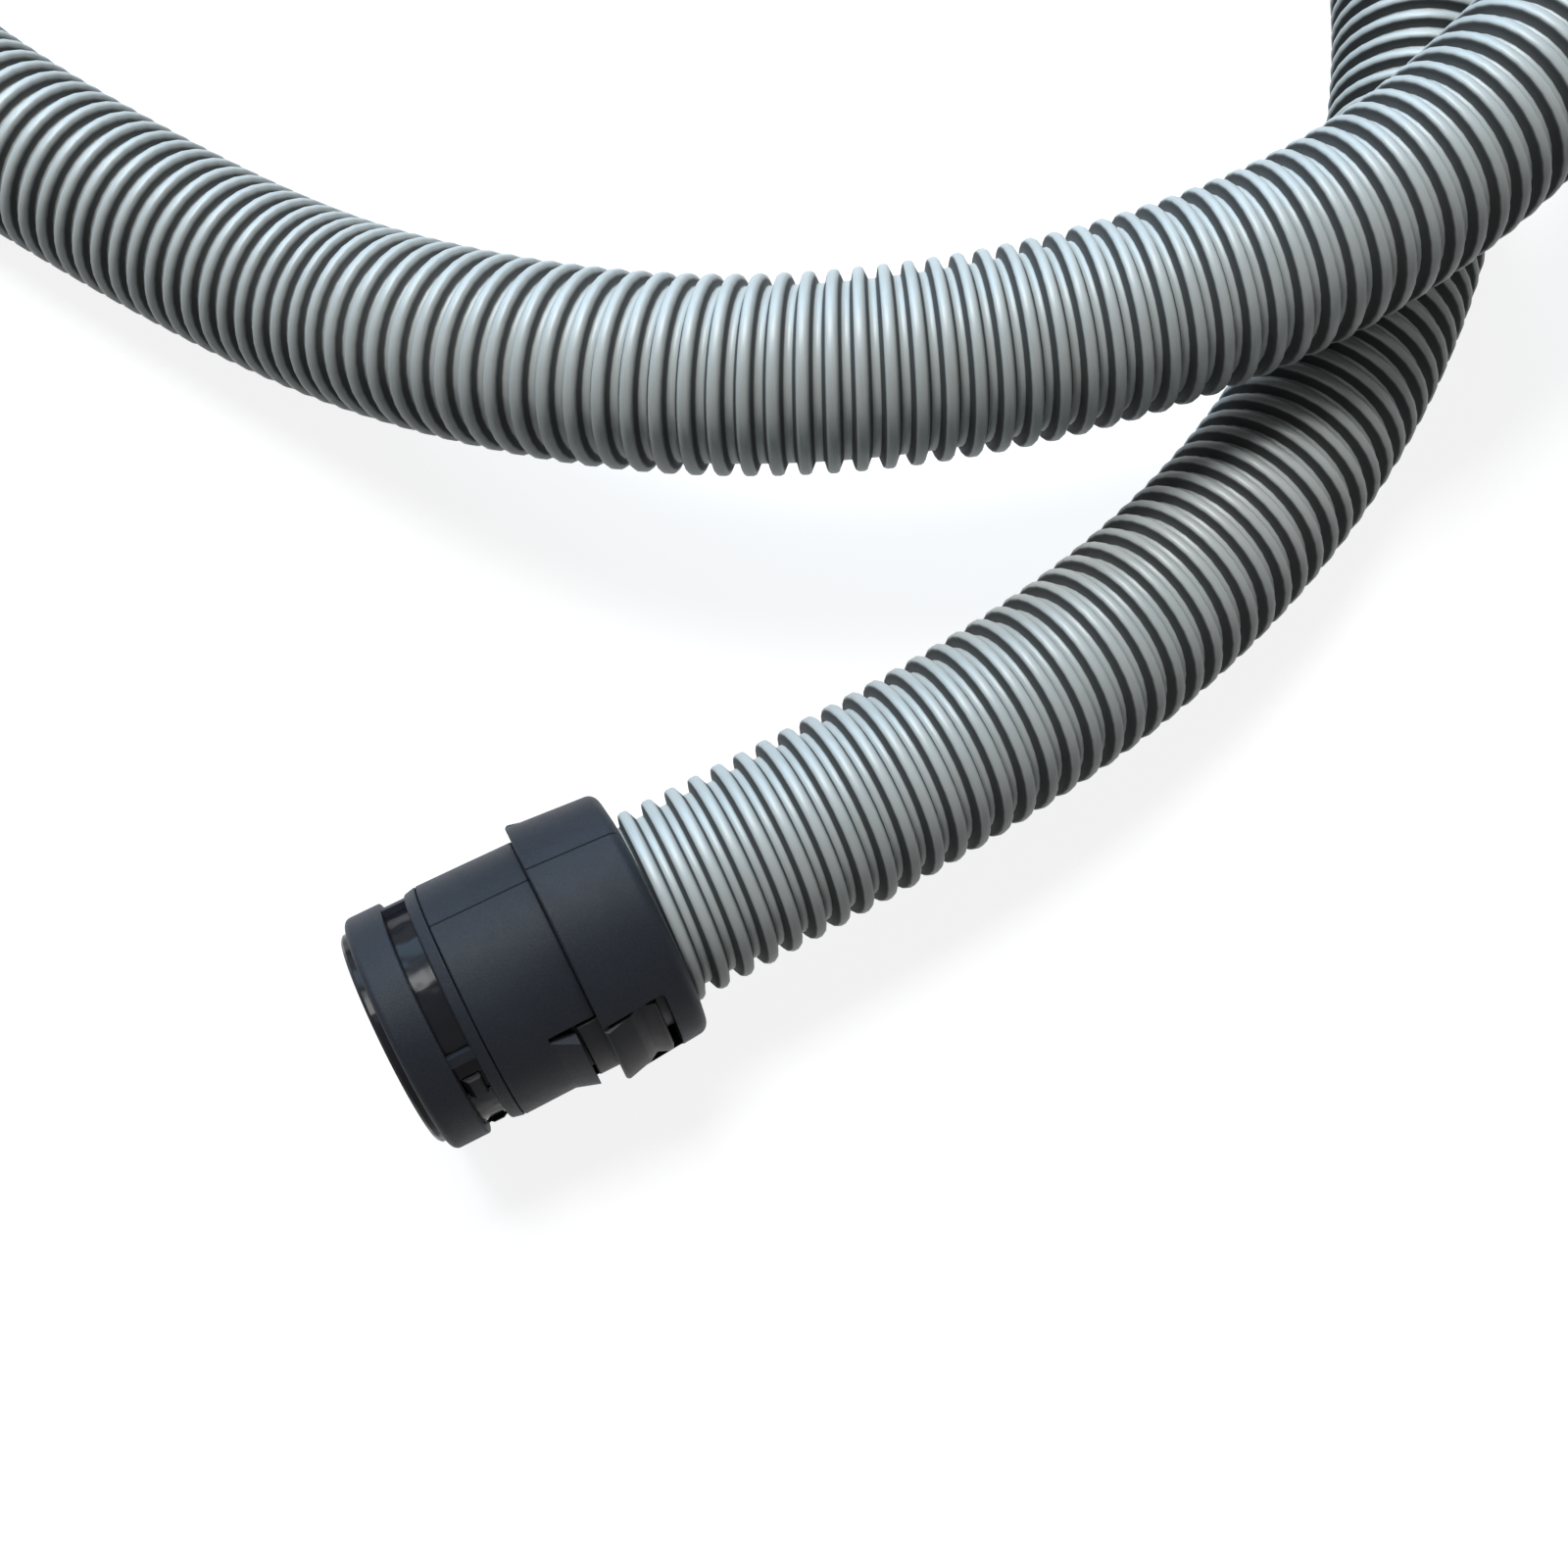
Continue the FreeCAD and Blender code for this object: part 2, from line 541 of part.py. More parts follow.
def cuff_grip():
    """Soft sleeve with raised bands, in the body's recess."""
    pitch = GRIP_LENGTH / BAND_COUNT
    top = CUFF_BODY_R + BAND_HEIGHT
    corners = [(GRIP_START, CUFF_NECK_R), (GRIP_START, CUFF_BODY_R)]
    for band in range(BAND_COUNT):
        start = GRIP_START + band * pitch
        corners += [(start + 0.2 * pitch, CUFF_BODY_R), (start + 0.35 * pitch, top),
                    (start + 0.65 * pitch, top), (start + 0.8 * pitch, CUFF_BODY_R)]
    return revolve(corners + [(GRIP_END, CUFF_BODY_R), (GRIP_END, CUFF_NECK_R)])


def cuff_cap():
    """Rear cap that keeps the nut's flange in the cuff and lets it turn."""
    pocket_r = FLANGE_R + MOVING_GAP
    ledge = CUFF_FLANGE_X + FLANGE_LENGTH + FINE_GAP + SLIP_LENGTH
    return revolve([
        (CAP_START, CUFF_NECK_R), (CUFF_BODY_END, CUFF_NECK_R), (CUFF_BODY_END, pocket_r),
        (ledge, pocket_r), (ledge, ENTRY_R), (CAP_END, ENTRY_R), (CAP_END, CUFF_CAP_R - CAP_ROUND),
        (CAP_END - CAP_ROUND, CUFF_CAP_R), (CAP_START + CAP_CHAMFER, CUFF_CAP_R),
        (CAP_START, CUFF_CAP_R - CAP_CHAMFER),
    ])


# ------------------------------------------------------------------ hose along its route
def straight(a, b):
    """A run as its length and a function from distance to (place, direction)."""
    along = Vector(b - a).normalize()
    return (b - a).Length, lambda s: (a + along * s, along)


def bend(start, u, v, turn, radius):
    """A tangent arc from direction u to direction v, in the same form."""
    side = Vector(v - u * u.dot(v)).normalize()

    def at(s):
        sine, cosine = math.sin(s / radius), math.cos(s / radius)
        return start + u * (radius * sine) + side * (radius * (1 - cosine)), u * cosine + side * sine
    return radius * turn, at


def follow(corners):
    """The route as runs joined by the largest even arcs, and the arcs' radii."""
    points = [Vector(x, y, FLOOR_Z + up) for x, y, up in corners]
    runs = [b - a for a, b in zip(points, points[1:])]
    pieces, radii, last = [], [], points[0]
    for point, before, after in zip(points[1:], runs, runs[1:]):
        turn = before.getAngle(after)
        cut = ARC_SHARE * min(before.Length, after.Length)
        radii.append(cut / math.tan(turn / 2))
        u, v = Vector(before).normalize(), Vector(after).normalize()
        enter = point - u * cut
        pieces += [straight(last, enter), bend(enter, u, v, turn, radii[-1])]
        last = point + v * cut
    return pieces + [straight(last, points[-1])], radii


def place_on(pieces, s):
    """Place and direction at distance s along the route."""
    for length, at in pieces[:-1]:
        if s <= length:
            return at(s)
        s -= length
    return pieces[-1][1](s)


def ring_at(pieces, s, radius):
    """A circle square to the route, its own X axis kept level."""
    place, along = place_on(pieces, s)
    circle = Part.Circle(place, along, radius)
    circle.XAxis = Vector(along.y, -along.x, 0).normalize()
    return Part.Wire(circle.toShape())


def ribbed(pieces, pitch, first, last):
    """Ribs first to last of the hose as one solid round its bore."""
    valley_r = HOSE_R - RIB_DEPTH
    steps = [(0, valley_r), (VALLEY_SHARE, valley_r), (VALLEY_SHARE + RISE_SHARE, HOSE_R),
             (VALLEY_SHARE + RISE_SHARE + CREST_SHARE, HOSE_R)]
    outside = [ring_at(pieces, (rib + share) * pitch, radius)
               for rib in range(first, last) for share, radius in steps]
    outside.append(ring_at(pieces, last * pitch, valley_r))
    bore = [ring_at(pieces, rib * pitch, BORE_R) for rib in range(first, last + 1)]
    faces = Part.makeLoft(outside, False, True).Faces + Part.makeLoft(bore, False, True).Faces
    for end in (0, -1):
        faces += Part.Face(outside[end]).cut(Part.Face(bore[end])).Faces
    shell = Part.makeShell(faces)
    shell.sewShape()
    solid = Part.Solid(shell)
    if solid.Volume < 0:
        solid.reverse()
    return solid


def least_gap(pieces, length, step=4.0):
    """Least gap between two stretches of the hose that aren't neighbours."""
    places = [place_on(pieces, i * step)[0] for i in range(int(length / step))]
    apart = int(3 * HOSE_OD / step)
    return min(a.distanceToPoint(b) for i, a in enumerate(places)
               for b in places[i + apart:]) - HOSE_OD


def build_hose():
    """Write the hose's three stretches; return the place and direction of its far end."""
    pieces, radii = follow(ROUTE)
    length = sum(piece[0] for piece in pieces)
    pitch = length / RIB_COUNT
    print("arc radii of the route, mm:", [round(r) for r in radii])
    print(f"hose length {length:.0f} mm, rib pitch {pitch:.2f} mm")
    print(f"least gap of the hose to itself {least_gap(pieces, length):.2f} mm")
    first = 0
    loop_end = FIRST_RUN_CORNER_COUNT + LOOP_CORNER_COUNT
    ends = {"hose_first_run": 2 * FIRST_RUN_CORNER_COUNT, "hose_loop": 2 * loop_end,
            "hose_last_run": len(pieces)}
    for name, end in ends.items():
        last = round(sum(piece[0] for piece in pieces[:end]) / pitch)
        save(name, ribbed(pieces, pitch, first, last))
        first = last
    return place_on(pieces, length)


# ------------------------------------------------------------------ build
def build_machine_connector():
    save("spigot_cage", spigot_cage())
    save("inner_sleeve", inner_sleeve())
    for side, start in (("near", SPLIT_ANGLE), ("far", SPLIT_ANGLE + 180)):
        save(side + "_casing", casing(start, LATCHES[side], TONGUE_RISES[side]))
        save(side + "_latch_lever", turned(latch_lever(), LATCHES[side]))
        save(side + "_latch_spring", turned(latch_spring(), LATCHES[side]))
        print(f"{side} latch turns about x {PIVOT_X:.3f}, {PIVOT_HEIGHT:.3f} from the axis,",
              f"at {LATCHES[side]:.1f} degrees")
    save("machine_seal_ring", seal_ring(SLEEVE_END))
    save("machine_slip_ring", slip_ring(FLANGE_X))
    save("machine_hose_nut", hose_nut(NUT_X, FLANGE_X))


def build_wand_cuff(end, along):
    """The cuff's pieces, turned to face along the hose's end and slid on to it."""
    heading = math.degrees(math.atan2(along.y, along.x)) + 180
    turn = Rotation(Vector(0, 0, 1), heading)
    seat = Vector(CUFF_NUT_X + NUT_FACE, 0, 0)
    place = Placement(end - turn.multVec(seat), turn)
    pieces = {
        "wand_cuff_body": cuff_body(),
        "wand_cuff_grip": cuff_grip(),
        "wand_cuff_cap": cuff_cap(),
        "wand_seal_ring": seal_ring(CUFF_BODY_END),
        "wand_slip_ring": slip_ring(CUFF_FLANGE_X),
        "wand_hose_nut": hose_nut(CUFF_NUT_X, CUFF_FLANGE_X),
    }
    for name, shape in pieces.items():
        shape.Placement = place.multiply(shape.Placement)
        save(name, shape)
    print("wand mouth at", [round(c, 3) for c in place.Base],
          "facing", [round(c, 6) for c in turn.multVec(Vector(-1, 0, 0))])


build_machine_connector()
hose_end, hose_along = build_hose()
print("hose starts at x", round(HOSE_START, 3), "and ends at", [round(c, 3) for c in hose_end])
build_wand_cuff(hose_end, hose_along)
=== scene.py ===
# %% [markdown]
# # A vacuum cleaner hose, dressed for its portrait
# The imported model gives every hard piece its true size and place. This notebook adds what a
# camera cares about: the real corrugation of the hose, the grain and sheen of its plastics, the
# floor, the light and the camera. Everything is in metres, with +Z up.

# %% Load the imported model
import math

import bpy
from mathutils import Matrix, Vector


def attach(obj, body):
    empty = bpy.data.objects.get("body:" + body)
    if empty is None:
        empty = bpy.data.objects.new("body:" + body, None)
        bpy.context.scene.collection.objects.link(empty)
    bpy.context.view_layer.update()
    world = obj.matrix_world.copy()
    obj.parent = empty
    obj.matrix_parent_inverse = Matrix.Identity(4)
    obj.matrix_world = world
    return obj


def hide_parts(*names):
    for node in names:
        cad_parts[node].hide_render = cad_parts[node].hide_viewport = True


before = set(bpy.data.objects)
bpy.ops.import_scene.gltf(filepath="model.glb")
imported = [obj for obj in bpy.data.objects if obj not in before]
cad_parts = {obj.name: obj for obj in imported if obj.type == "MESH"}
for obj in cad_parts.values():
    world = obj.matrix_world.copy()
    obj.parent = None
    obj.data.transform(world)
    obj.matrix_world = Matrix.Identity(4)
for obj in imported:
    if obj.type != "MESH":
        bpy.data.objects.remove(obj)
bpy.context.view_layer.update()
MM = 0.001
print("nodes in the frame:", len(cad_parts))

# %% [markdown]
# ## The camera first
# The hose runs out of the picture, so the view decides how much of it is ever seen. A long lens
# looks steeply down on the floor. Blender's camera looks along its own -Z axis, so its matrix
# is built from three directions: to the right, up, and back towards the eye.

# %% Camera
EYE = Vector((0.03838, -0.09880, 0.3831))
TO_RIGHT = Vector((0.8892, -0.4576, 0.0)).normalized()
LOOK = Vector((0.1414, 0.2748, -0.9510)).normalized()
SENSOR_WIDTH = 36.0      # mm
FOCAL_LENGTH = 43.875    # mm
NEAREST_SEEN = 0.01

camera_data = bpy.data.cameras.new("camera")
camera_data.sensor_width = SENSOR_WIDTH
camera_data.lens = FOCAL_LENGTH
camera_data.clip_start = NEAREST_SEEN
camera = bpy.data.objects.new("camera", camera_data)
bpy.context.scene.collection.objects.link(camera)
image_up = (-LOOK).cross(TO_RIGHT)
turn = Matrix((TO_RIGHT, image_up, -LOOK)).transposed().to_4x4()
camera.matrix_world = Matrix.Translation(EYE) @ turn
bpy.context.scene.camera = camera
print("camera", [round(c, 3) for c in EYE], "lens", camera_data.lens, "mm")

# %% [markdown]
# ## The hose's route
# A hose is a fixed length of something springy, so it lies in slow curves and never in straight
# runs with corners. A NURBS spline is right for that: its control points pull on the line
# without the line having to touch them. Its order and end rule are set after the points.

# %% Route of the hose
HOSE_DIAMETER = 0.042
FLOOR = -0.0284
ON_FLOOR = 0.0210
CONNECTOR_UP = 0.0284
CUFF_UP = 0.0264
HOSE_START = 0.04965
ROUTE = [
    (HOSE_START, 0.0, CONNECTOR_UP), (0.129, 0.0, CONNECTOR_UP), (0.207, 0.016, ON_FLOOR),
    (0.270, 0.050, ON_FLOOR), (0.317, 0.100, ON_FLOOR), (0.350, 0.161, ON_FLOOR),
    (0.377, 0.237, ON_FLOOR), (0.398, 0.315, ON_FLOOR), (0.395, 0.397, ON_FLOOR),
    (0.360, 0.470, ON_FLOOR), (0.300, 0.525, ON_FLOOR), (0.223, 0.553, ON_FLOOR),
    (0.142, 0.550, ON_FLOOR), (0.068, 0.515, ON_FLOOR), (0.013, 0.455, ON_FLOOR),
    (-0.024, 0.3725, ON_FLOOR), (-0.019, 0.287, ON_FLOOR), (0.0425, 0.1805, ON_FLOOR),
    (0.0835, 0.120, 0.0455), (0.1335, 0.0815, 0.056), (0.196, 0.061, 0.0585),
    (0.2615, 0.0555, 0.0635), (0.327, 0.075, 0.069), (0.3885, 0.109, 0.053),
    (0.4395, 0.1595, 0.034), (0.468, 0.226, CUFF_UP), (0.475, 0.304, CUFF_UP),
]


def route_line():
    """The route's smooth line: a curve object with one open NURBS spline and no thickness."""
    data = bpy.data.curves.new("hose_route", "CURVE")
    data.dimensions = "3D"
    data.resolution_u = 48
    spline = data.splines.new("NURBS")
    spline.points.add(len(ROUTE) - 1)
    for point, (x, y, up) in zip(spline.points, ROUTE):
        point.co = (x, y, FLOOR + up, 1.0)
    spline.order_u = 3
    spline.use_endpoint_u = True
    line = bpy.data.objects.new("hose_route", data)
    bpy.context.scene.collection.objects.link(line)
    return line


def points_along(line):
    """The points of the line as Blender works it out."""
    bpy.context.view_layer.update()
    mesh = bpy.data.meshes.new_from_object(line)
    points = [vertex.co.copy() for vertex in mesh.vertices]
    bpy.data.meshes.remove(mesh)
    return points


route = route_line()
hose_path = points_along(route)
hose_length = sum((b - a).length for a, b in zip(hose_path, hose_path[1:]))
print(f"hose route: {len(hose_path)} points, {hose_length:.3f} m")

# %% [markdown]
# ## Small helpers for node trees
# Geometry and shader trees are built alike: add a node, give its inputs values or links. A
# helper that takes either one keeps each tree readable as a list of steps.

# %% Node helpers
def add_node(tree, kind, inputs=None, **settings):
    """A new node. inputs maps a socket's name or number to a value or to another socket."""
    node = tree.nodes.new(kind)
    for name, value in settings.items():
        setattr(node, name, value)
    for key, value in (inputs or {}).items():
        socket = node.inputs[key]
        if isinstance(value, bpy.types.NodeSocket):
            tree.links.new(value, socket)
        else:
            socket.default_value = value
    return node


def calc(tree, operation, a, b=0.0, c=0.0):
    """One sum of a Math node, as its output socket."""
    inputs = {0: a, 1: b}
    if operation in ("MULTIPLY_ADD", "WRAP", "COMPARE"):
        inputs[2] = c
    return add_node(tree, "ShaderNodeMath", inputs, operation=operation).outputs[0]


def vector_calc(tree, operation, a, b=None, scale=None):
    """One sum of a Vector Math node, as its output socket."""
    inputs = {0: a}
    if b is not None:
        inputs[1] = b
    node = add_node(tree, "ShaderNodeVectorMath", inputs, operation=operation)
    if scale is not None:
        if isinstance(scale, bpy.types.NodeSocket):
            tree.links.new(scale, node.inputs["Scale"])
        else:
            node.inputs["Scale"].default_value = scale
    return node.outputs[1 if operation in ("LENGTH", "DOT_PRODUCT") else 0]


def new_geometry_tree(name, inputs):
    """A geometry tree with a geometry input and output, and named inputs for its sizes."""
    tree = bpy.data.node_groups.new(name, "GeometryNodeTree")
    face = tree.interface
    face.new_socket("Geometry", in_out="INPUT", socket_type="NodeSocketGeometry")
    face.new_socket("Geometry", in_out="OUTPUT", socket_type="NodeSocketGeometry")
    for label, kind in inputs.items():
        face.new_socket(label, in_out="INPUT", socket_type=kind)
    source = tree.nodes.new("NodeGroupInput")
    return tree, source.outputs


def made_by(tree, name, values, source_mesh=None):
    """Run a geometry tree once and keep its result as a plain mesh object."""
    mesh = source_mesh or bpy.data.meshes.new(name + "_seed")
    maker = bpy.data.objects.new(name + "_maker", mesh)
    bpy.context.scene.collection.objects.link(maker)
    modifier = maker.modifiers.new("tree", "NODES")
    modifier.node_group = tree
    for item in tree.interface.items_tree:
        if item.in_out == "INPUT" and item.name in values:
            modifier[item.identifier] = values[item.name]
    bpy.context.view_layer.update()
    graph = bpy.context.evaluated_depsgraph_get()
    result = bpy.data.meshes.new_from_object(maker.evaluated_get(graph))
    maker.modifiers.remove(modifier)
    bpy.data.objects.remove(maker)
    result.name = name
    piece = bpy.data.objects.new(name, result)
    bpy.context.scene.collection.objects.link(piece)
    return piece

# %% [markdown]
# ## Plastics
# A moulded surface is never one even colour. It carries a fine grain from the etched mould, a
# faint cloudiness from the way the plastic flowed, and a dusting of wear. Each of these is a
# noise at its own scale, read from Object coordinates so that it sits still on the piece.

# %% Plastic maker
CLOUD_SCALE = 38.0       # of the noises, per metre: colour clouds, worn gloss, wavy skin
WEAR_SCALE = 160.0
WAVE_SCALE = 210.0
GROOVE_DEPTH = 0.2 * MM


def plastic(name, base, shade, rough, grain_size, grain_height, specular=0.15, metal=0.0,
            wave_height=0.0, edge=0.0003, groove=None):
    """A moulded plastic: two close colours in clouds, uneven gloss and an etched grain.

    wave_height bends reflections over a few millimetres, edge softens sharp corners, and groove
    is a function that gives 0 to 1 across a dark fine line in the surface.
    """
    material = bpy.data.materials.new(name)
    material.use_nodes = True
    tree = material.node_tree
    tree.nodes.clear()
    place = add_node(tree, "ShaderNodeTexCoord").outputs["Object"]

    def noise(scale, detail, roughness):
        return add_node(tree, "ShaderNodeTexNoise", {
            "Vector": place, "Scale": scale, "Detail": detail,
            "Roughness": roughness}).outputs["Fac"]

    clouds = calc(tree, "MULTIPLY_ADD", noise(CLOUD_SCALE, 4.0, 0.6), 1.6, -0.3)
    speckle = calc(tree, "MULTIPLY_ADD", noise(0.7 / grain_size, 2.0, 0.5), 2.4, -0.7)
    tone = calc(tree, "MULTIPLY_ADD", speckle, 0.35, calc(tree, "MULTIPLY", clouds, 0.65))
    colour = mix_colour(tree, tone, (*base, 1.0), (*shade, 1.0))
    uneven = calc(tree, "MULTIPLY_ADD", noise(WEAR_SCALE, 6.0, 0.72), rough * 0.5, rough * 0.75)
    normal = add_node(tree, "ShaderNodeBevel", {"Radius": edge}, samples=4).outputs[0]
    if wave_height:
        normal = add_node(tree, "ShaderNodeBump", {
            "Height": noise(WAVE_SCALE, 1.0, 0.4), "Distance": wave_height,
            "Normal": normal}).outputs["Normal"]
    normal = add_node(tree, "ShaderNodeBump", {
        "Height": noise(1.0 / grain_size, 3.0, 0.65), "Distance": grain_height,
        "Normal": normal}).outputs["Normal"]
    if groove:
        depth = groove(tree, place)
        colour = mix_colour(tree, calc(tree, "MULTIPLY", depth, 0.9), colour, (0, 0, 0, 1))
        normal = add_node(tree, "ShaderNodeBump", {
            "Height": calc(tree, "SUBTRACT", 1.0, depth), "Distance": GROOVE_DEPTH,
            "Normal": normal}).outputs["Normal"]
    shader = add_node(tree, "ShaderNodeBsdfPrincipled", {
        "Base Color": colour, "Roughness": uneven, "Normal": normal, "Metallic": metal,
        "Specular IOR Level": specular})
    out = add_node(tree, "ShaderNodeOutputMaterial")
    tree.links.new(shader.outputs[0], out.inputs["Surface"])
    return material


def mix_colour(tree, share, low, high):
    """One colour blended into another by a share from 0 to 1, as its output socket."""
    return add_node(tree, "ShaderNodeMix", {0: share, 6: low, 7: high},
                    data_type="RGBA").outputs[2]


def fade(tree, value, start, end):
    """1 up to start, 0 from end on, smooth between."""
    return add_node(tree, "ShaderNodeMapRange", {
        "Value": value, "From Min": start, "From Max": end, "To Min": 1.0, "To Max": 0.0},
        interpolation_type="SMOOTHSTEP").outputs[0]


PARTING_TILT = math.radians(24.6)
PARTING_DARK = 0.09 * MM     # half the width of the line's darkest part
PARTING_EDGE = 0.22 * MM     # and half its whole width


def parting_line(tree, place):
    """The fine line where the two half casings meet, in a plane through the connector's axis."""
    across = vector_calc(tree, "DOT_PRODUCT", place,
                         (0.0, math.cos(PARTING_TILT), -math.sin(PARTING_TILT)))
    return fade(tree, calc(tree, "ABSOLUTE", across), PARTING_DARK, PARTING_EDGE)


# %% [markdown]
# ## Finishes of this hose
# The hose is a silver-grey plastic with a satin skin. Its colour follows the thread: the UV map
# holds the share of a lap and the distance along the route, and together they tell where on
# the ridge a point lies. The corners of the valleys get a painted shade, darker where the ribs
# shadow each other, and faint streaks run round the hose as the extruder left them.

# %% Hose finish
RIB_PITCH = 0.0055
RISE_SHARE = 0.51      # of the pitch: middle of the flank up to the crest
FALL_SHARE = 0.09      # and of the flank down
SILVER_DARK = (0.37, 0.395, 0.385, 1.0)
SILVER_LIGHT = (0.50, 0.53, 0.52, 1.0)
# painted shade: the dark colour the flanks and valley corners blend to, in place of the ribs'
# shadow
VALLEY_SHADE_COLOUR = (0.02, 0.021, 0.023, 1.0)
STREAKS_PER_LAP = 5.0
STREAKS_PER_METRE = 4200.0
STREAK_HEIGHT = 0.00002


def hose_plastic():
    """Satin silver plastic, streaked round the hose, with painted shade in the corners of its
    thread.
    """
    material = bpy.data.materials.new("hose_silver")
    material.use_nodes = True
    tree = material.node_tree
    tree.nodes.clear()
    uv = add_node(tree, "ShaderNodeSeparateXYZ", {
        0: add_node(tree, "ShaderNodeUVMap", uv_map="UVMap").outputs[0]}).outputs
    place = add_node(tree, "ShaderNodeTexCoord").outputs["Object"]
    lap, distance = uv["X"], uv["Y"]
    turns = calc(tree, "SUBTRACT", calc(tree, "DIVIDE", distance, RIB_PITCH), lap)
    share = calc(tree, "FRACT", turns)

    streak_place = add_node(tree, "ShaderNodeCombineXYZ", {
        "X": calc(tree, "MULTIPLY", lap, STREAKS_PER_LAP),
        "Y": calc(tree, "MULTIPLY", distance, STREAKS_PER_METRE)}).outputs[0]
    streaks = add_node(tree, "ShaderNodeTexNoise", {
        "Vector": streak_place, "Scale": 1.0, "Detail": 3.0, "Roughness": 0.6}).outputs["Fac"]
    clouds = add_node(tree, "ShaderNodeTexNoise", {
        "Vector": place, "Scale": 70.0, "Detail": 4.0, "Roughness": 0.6}).outputs["Fac"]
    tone = calc(tree, "MULTIPLY_ADD", streaks, 0.9, calc(tree, "MULTIPLY_ADD", clouds, 0.9, -0.4))
    silver = mix_colour(tree, tone, SILVER_DARK, SILVER_LIGHT)

    # Painted shade: the flanks and the corners of the valleys blend towards a dark colour in
    # place of the shadow the ribs cast on each other. The same mask also makes them a little
    # rougher.
    near_rise = calc(tree, "ABSOLUTE", calc(tree, "SUBTRACT", share, RISE_SHARE))
    near_fall = calc(tree, "ABSOLUTE", calc(tree, "SUBTRACT", share, FALL_SHARE))
    valley_shade = calc(tree, "MAXIMUM", fade(tree, near_rise, 0.05, 0.10),
                  fade(tree, near_fall, 0.03, 0.09))
    colour = mix_colour(tree, calc(tree, "MULTIPLY", valley_shade, 0.9), silver, VALLEY_SHADE_COLOUR)
    rough = calc(tree, "MULTIPLY_ADD", streaks, 0.16, 0.36)
    bump = add_node(tree, "ShaderNodeBump", {
        "Height": streaks, "Distance": STREAK_HEIGHT}).outputs["Normal"]
    shader = add_node(tree, "ShaderNodeBsdfPrincipled", {
        "Base Color": colour, "Roughness": calc(tree, "MULTIPLY_ADD", valley_shade, 0.3, rough),
        "Normal": bump, "Metallic": 0.10, "Specular IOR Level": 0.3})
    out = add_node(tree, "ShaderNodeOutputMaterial")
    tree.links.new(shader.outputs[0], out.inputs["Surface"])
    return material


# %% [markdown]
# The connector's casings are black with a fine leathery etch. The inner sleeve is polished,
# because seals slide on it, and its wavy skin breaks reflections into patches.

# %% Finishes
hose_silver = hose_plastic()
CASING = ((0.008, 0.010, 0.014), (0.024, 0.028, 0.037), 0.48, 0.00032, 0.00009)
casing_black = plastic("casing_black", *CASING)
split_casing_black = plastic("split_casing_black", *CASING, groove=parting_line)
latch_black = plastic("latch_black", (0.013, 0.013, 0.016), (0.019, 0.019, 0.023), 0.46,
                      0.00036, 0.00003)
sleeve_gloss = plastic("sleeve_gloss", (0.006, 0.006, 0.008), (0.010, 0.010, 0.013), 0.20,
                       0.002, 0.000004, specular=0.12, wave_height=0.0004)
nut_black = plastic("nut_black", (0.018, 0.018, 0.020), (0.026, 0.026, 0.029), 0.40,
                    0.0006, 0.00001)
seal_rubber = plastic("seal_rubber", (0.012, 0.012, 0.012), (0.020, 0.020, 0.020), 0.75,
                      0.0004, 0.00002)
grip_rubber = plastic("grip_rubber", (0.024, 0.024, 0.026), (0.034, 0.034, 0.036), 0.70,
                      0.0005, 0.00003)
spring_steel = plastic("spring_steel", (0.42, 0.42, 0.43), (0.55, 0.55, 0.56), 0.28,
                       0.0002, 0.000004, metal=1.0, edge=0.0001)

NODE_FINISH = {
    "spigot_cage": casing_black, "inner_sleeve": sleeve_gloss,
    "near_casing": split_casing_black, "far_casing": split_casing_black,
    "near_latch_lever": latch_black, "far_latch_lever": latch_black,
    "near_latch_spring": spring_steel, "far_latch_spring": spring_steel,
    "machine_seal_ring": seal_rubber, "machine_slip_ring": nut_black,
    "machine_hose_nut": nut_black, "wand_hose_nut": nut_black,
    "wand_cuff_body": casing_black, "wand_cuff_grip": grip_rubber,
    "wand_cuff_cap": casing_black, "wand_seal_ring": seal_rubber, "wand_slip_ring": nut_black,
}
for node, finish in NODE_FINISH.items():
    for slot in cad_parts[node].material_slots:
        slot.material = finish
print("nodes given a finish:", len(NODE_FINISH))

# %% [markdown]
# ## The ribbed hose
# The real hose is wound from one strip, so its ridge is a single screw thread some 366 turns
# long. It could be an array of rings bent along a curve, but rings never meet the next turn.
# A grid wrapped round the route does: its rows follow the ridge's outline turn after turn,
# each column starts a little further along, and after one lap the grid meets itself one pitch
# on. Merging by distance then sews the whole thread into one skin. A second, plain grid lines
# the bore and closes both ends.

# %% Tree of the ribbed hose
RIB_DEPTH = 0.0026
BORE_RADIUS = 0.0175
PLAIN_END = 0.007
AROUND = 32
LINING_STEP = 0.016
RIDGE = [  # share of the pitch, share of the rib's depth
    (0.15, 0.00), (0.47, 0.00), (0.54, 0.60), (0.59, 0.88), (0.69, 1.00), (0.88, 1.00),
    (0.98, 0.88), (1.03, 0.60),
]


def table(tree, index, values):
    """A list of numbers, looked up by index."""
    node = add_node(tree, "GeometryNodeIndexSwitch", data_type="FLOAT")
    while len(node.index_switch_items) < len(values):
        node.index_switch_items.new()
    tree.links.new(index, node.inputs[0])
    for socket, value in zip(node.inputs[1:], values):
        socket.default_value = value
    return node.outputs[0]


